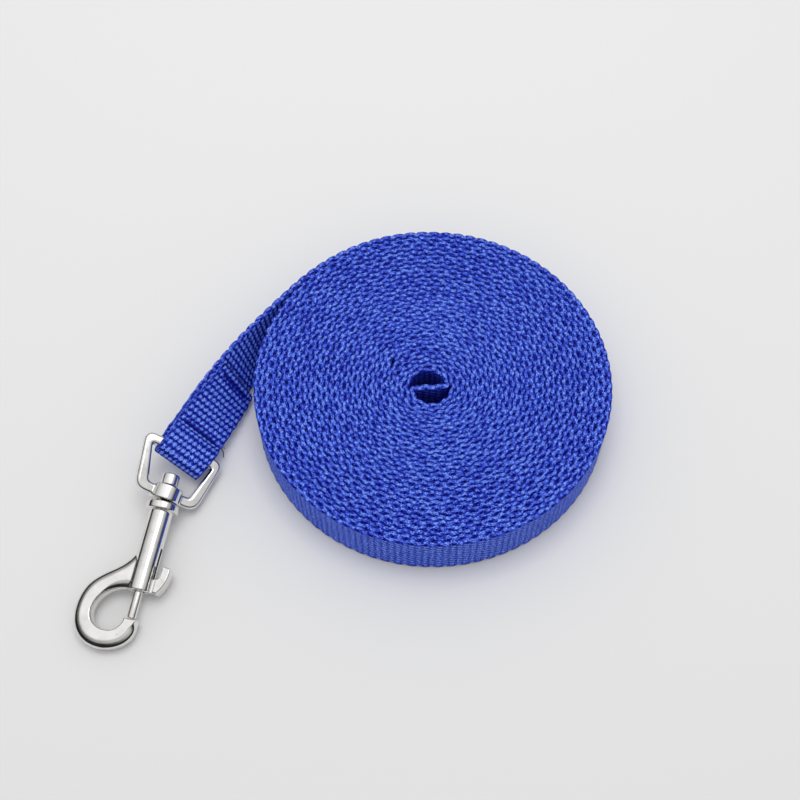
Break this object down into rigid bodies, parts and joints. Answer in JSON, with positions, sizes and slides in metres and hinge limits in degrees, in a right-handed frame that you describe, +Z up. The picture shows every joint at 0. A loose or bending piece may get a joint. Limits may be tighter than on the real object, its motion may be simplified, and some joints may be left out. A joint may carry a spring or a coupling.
{
  "type": "training leash",
  "caption": "Long flat webbing training leash wound into a roll, with a sewn end loop that carries a swivel eye and a bolt snap with a sprung thumb lever.",
  "frame": {"origin": "middle of the bounding box on the surface the leash lies on", "axes": "+Z up along the roll's axis and the width of the webbing, +Y from the hook back along the shank, +X from the hook towards the roll"},
  "size_m": [0.1268, 0.1348, 0.0152],
  "materials": {
    "webbing": "plain woven royal blue polypropylene webbing",
    "thread": "dark blue sewing thread",
    "chrome": "bright nickel chrome plate on a zinc casting",
    "spring_steel": "drawn spring wire"
  },
  "bodies": {
    "strap": {"strap_coil": "webbing", "hand_loop_turns": "webbing", "hand_loop_tip": "webbing", "strap_tail": "webbing", "end_loop": "webbing", "hand_loop_stitch": "thread", "end_stitch_near": "thread", "end_stitch_far": "thread"},
    "eye": {"swivel_eye": "chrome"},
    "hook": {"swivel_rivet": "chrome", "hook_body": "chrome", "bolt_spring": "spring_steel"},
    "bolt": {"bolt_pin": "chrome", "thumb_lever": "chrome"}
  },
  "joints": [
    {"name": "eye_hinge", "type": "hinge", "parent": "strap", "child": "eye", "pos_m": [-0.0473, -0.01227, 0.0075], "axis": [-0.8664, 0.042, 0.4976], "range_deg": [0, 95]},
    {"name": "hook_swivel", "type": "hinge", "parent": "eye", "child": "hook", "pos_m": [-0.04863, -0.02484, 0.00626], "axis": [0, 0.9952, 0.0976], "continuous": true},
    {"name": "bolt_slide", "type": "slide", "parent": "hook", "child": "bolt", "axis": [0, 0.9952, 0.0976], "range_m": [0, 0.0073], "stiffness_N_per_m": 300, "springref_m": -0.004, "deforming": ["bolt_spring"]}
  ]
}
